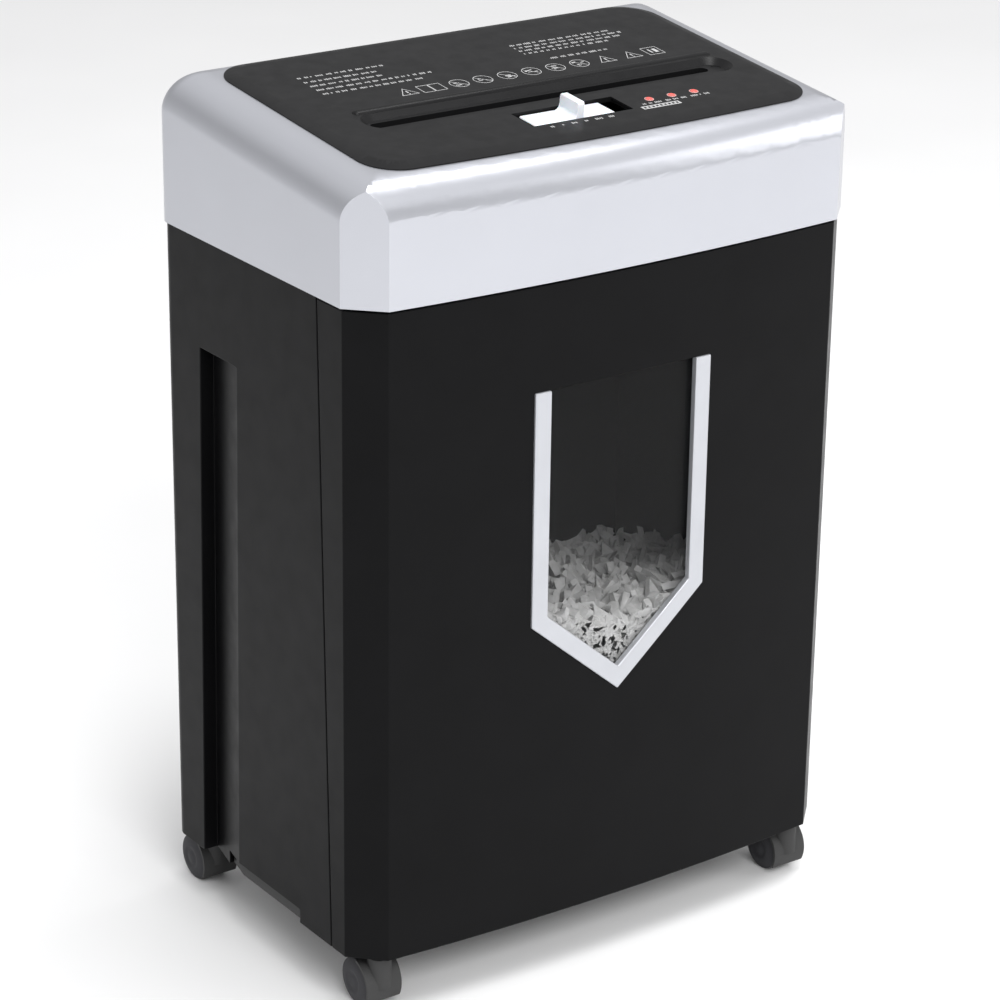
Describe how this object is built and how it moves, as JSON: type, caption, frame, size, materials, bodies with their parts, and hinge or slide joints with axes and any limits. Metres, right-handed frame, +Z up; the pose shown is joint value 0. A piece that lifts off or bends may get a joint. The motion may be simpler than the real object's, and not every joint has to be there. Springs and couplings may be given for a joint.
{
  "type": "paper shredder",
  "caption": "Floor-standing paper shredder: silver head with a sloping control panel and feed slot, black cabinet with a pull-out windowed bin, twin-wheel casters.",
  "frame": {"origin": "on the floor, under the middle of the whole object", "axes": "+Z up, +Y to the back, +X to the right as seen from the front"},
  "size_m": [0.34, 0.2272, 0.5082],
  "materials": {
    "silver_shell": "plastic with a fine satin silver paint",
    "black_trim": "fine-grained moulded plastic",
    "black_panel": "satin black moulded plastic",
    "black_body": "satin black moulded plastic with a fine grain",
    "inner_black": "plain moulded plastic",
    "white_slider": "smooth white plastic",
    "switch_black": "smooth thermoset plastic",
    "circuit_green": "solder mask on glass-fibre board",
    "lens_red": "tinted clear plastic",
    "plate_steel": "zinc-plated sheet steel",
    "rod_steel": "ground bright steel",
    "bush_bronze": "sintered bronze",
    "cutter_steel": "hardened tool steel, ground",
    "comb_grey": "glass-filled nylon",
    "gear_steel": "sintered steel, oiled",
    "gear_acetal": "natural acetal",
    "motor_enamel": "black enamel on drawn steel",
    "screw_zinc": "zinc-plated steel",
    "magnet_steel": "nickel-plated magnet",
    "frame_silver": "silver-painted plastic",
    "clear_pane": "clear, slightly smoked polystyrene",
    "rail_white": "natural nylon",
    "caster_black": "moulded nylon",
    "wheel_black": "hard nylon tread"
  },
  "bodies": {
    "cabinet": {"head_cover": "silver_shell", "cord_gland": "black_trim", "control_panel": "black_panel", "mode_switch": "switch_black", "indicator_board": "circuit_green", "indicator_lenses": "lens_red", "side_plate_left": "plate_steel", "side_plate_right": "plate_steel", "tie_rods": "rod_steel", "shaft_bushes": "bush_bronze", "throat_guide_front": "inner_black", "throat_guide_rear": "inner_black", "feed_sensor": "switch_black", "front_comb": "comb_grey", "rear_comb": "comb_grey", "gear_axle": "rod_steel", "motor_case": "motor_enamel", "gear_cover": "inner_black", "gear_cover_screws": "screw_zinc", "head_tray": "inner_black", "tray_screws": "screw_zinc", "control_board": "circuit_green", "board_screws": "screw_zinc", "bin_sensor": "switch_black", "cabinet_shell": "black_body", "cabinet_base": "inner_black", "bin_rails": "rail_white", "caster_stems": "rod_steel"},
    "bin": {"bin_front": "black_body", "window_frame": "frame_silver", "window_pane": "clear_pane", "bin_tub": "inner_black", "bin_magnet": "magnet_steel"},
    "mode_slider": {"mode_slider": "white_slider"},
    "motor": {"motor_rotor": "rod_steel", "motor_pinion": "gear_steel", "motor_fan": "switch_black"},
    "reduction_gear": {"reduction_gear": "gear_acetal"},
    "rear_cutter": {"rear_cutter": "cutter_steel", "rear_sync_gear": "gear_steel", "drive_gear": "gear_acetal"},
    "front_cutter": {"front_cutter": "cutter_steel", "front_sync_gear": "gear_steel"},
    "front_left_caster": {"front_left_caster_hood": "caster_black", "front_left_caster_axle": "rod_steel"},
    "front_left_wheel_left": {"front_left_caster_wheel_left": "wheel_black"},
    "front_left_wheel_right": {"front_left_caster_wheel_right": "wheel_black"},
    "rear_left_caster": {"rear_left_caster_hood": "caster_black", "rear_left_caster_axle": "rod_steel"},
    "rear_left_wheel_left": {"rear_left_caster_wheel_left": "wheel_black"},
    "rear_left_wheel_right": {"rear_left_caster_wheel_right": "wheel_black"},
    "front_right_caster": {"front_right_caster_hood": "caster_black", "front_right_caster_axle": "rod_steel"},
    "front_right_wheel_left": {"front_right_caster_wheel_left": "wheel_black"},
    "front_right_wheel_right": {"front_right_caster_wheel_right": "wheel_black"},
    "rear_right_caster": {"rear_right_caster_hood": "caster_black", "rear_right_caster_axle": "rod_steel"},
    "rear_right_wheel_left": {"rear_right_caster_wheel_left": "wheel_black"},
    "rear_right_wheel_right": {"rear_right_caster_wheel_right": "wheel_black"}
  },
  "joints": [
    {"name": "bin_slide", "type": "slide", "parent": "cabinet", "child": "bin", "axis": [0, -1, 0], "range_m": [0, 0.18]},
    {"name": "mode_slide", "type": "slide", "parent": "cabinet", "child": "mode_slider", "axis": [1, 0, 0], "range_m": [-0.01, 0.01]},
    {"name": "motor_spin", "type": "hinge", "parent": "cabinet", "child": "motor", "pos_m": [0.072, 0.0476, 0.445], "axis": [1, 0, 0], "continuous": true},
    {"name": "reduction_spin", "type": "hinge", "parent": "cabinet", "child": "reduction_gear", "pos_m": [0.136, 0.01721, 0.45968], "axis": [1, 0, 0], "continuous": true},
    {"name": "rear_cutter_spin", "type": "hinge", "parent": "cabinet", "child": "rear_cutter", "pos_m": [0, -0.01027, 0.432], "axis": [1, 0, 0], "continuous": true},
    {"name": "front_cutter_spin", "type": "hinge", "parent": "cabinet", "child": "front_cutter", "pos_m": [0, -0.04627, 0.432], "axis": [1, 0, 0], "continuous": true},
    {"name": "front_left_swivel", "type": "hinge", "parent": "cabinet", "child": "front_left_caster", "pos_m": [-0.148, -0.0924, 0.033], "axis": [0, 0, 1], "continuous": true},
    {"name": "front_left_roll_left", "type": "hinge", "parent": "front_left_caster", "child": "front_left_wheel_left", "pos_m": [-0.1557, -0.0814, 0.014], "axis": [1, 0, 0], "continuous": true},
    {"name": "front_left_roll_right", "type": "hinge", "parent": "front_left_caster", "child": "front_left_wheel_right", "pos_m": [-0.1403, -0.0814, 0.014], "axis": [1, 0, 0], "continuous": true},
    {"name": "rear_left_swivel", "type": "hinge", "parent": "cabinet", "child": "rear_left_caster", "pos_m": [-0.148, 0.0886, 0.033], "axis": [0, 0, 1], "continuous": true},
    {"name": "rear_left_roll_left", "type": "hinge", "parent": "rear_left_caster", "child": "rear_left_wheel_left", "pos_m": [-0.1557, 0.0996, 0.014], "axis": [1, 0, 0], "continuous": true},
    {"name": "rear_left_roll_right", "type": "hinge", "parent": "rear_left_caster", "child": "rear_left_wheel_right", "pos_m": [-0.1403, 0.0996, 0.014], "axis": [1, 0, 0], "continuous": true},
    {"name": "front_right_swivel", "type": "hinge", "parent": "cabinet", "child": "front_right_caster", "pos_m": [0.148, -0.0924, 0.033], "axis": [0, 0, 1], "continuous": true},
    {"name": "front_right_roll_left", "type": "hinge", "parent": "front_right_caster", "child": "front_right_wheel_left", "pos_m": [0.1403, -0.0814, 0.014], "axis": [1, 0, 0], "continuous": true},
    {"name": "front_right_roll_right", "type": "hinge", "parent": "front_right_caster", "child": "front_right_wheel_right", "pos_m": [0.1557, -0.0814, 0.014], "axis": [1, 0, 0], "continuous": true},
    {"name": "rear_right_swivel", "type": "hinge", "parent": "cabinet", "child": "rear_right_caster", "pos_m": [0.148, 0.0886, 0.033], "axis": [0, 0, 1], "continuous": true},
    {"name": "rear_right_roll_left", "type": "hinge", "parent": "rear_right_caster", "child": "rear_right_wheel_left", "pos_m": [0.1403, 0.0996, 0.014], "axis": [1, 0, 0], "continuous": true},
    {"name": "rear_right_roll_right", "type": "hinge", "parent": "rear_right_caster", "child": "rear_right_wheel_right", "pos_m": [0.1557, 0.0996, 0.014], "axis": [1, 0, 0], "continuous": true}
  ],
  "couplings": [
    {"joint": "reduction_spin", "follows": "motor_spin", "ratio": -0.22727},
    {"joint": "rear_cutter_spin", "follows": "motor_spin", "ratio": 0.068182},
    {"joint": "front_cutter_spin", "follows": "motor_spin", "ratio": -0.068182}
  ]
}
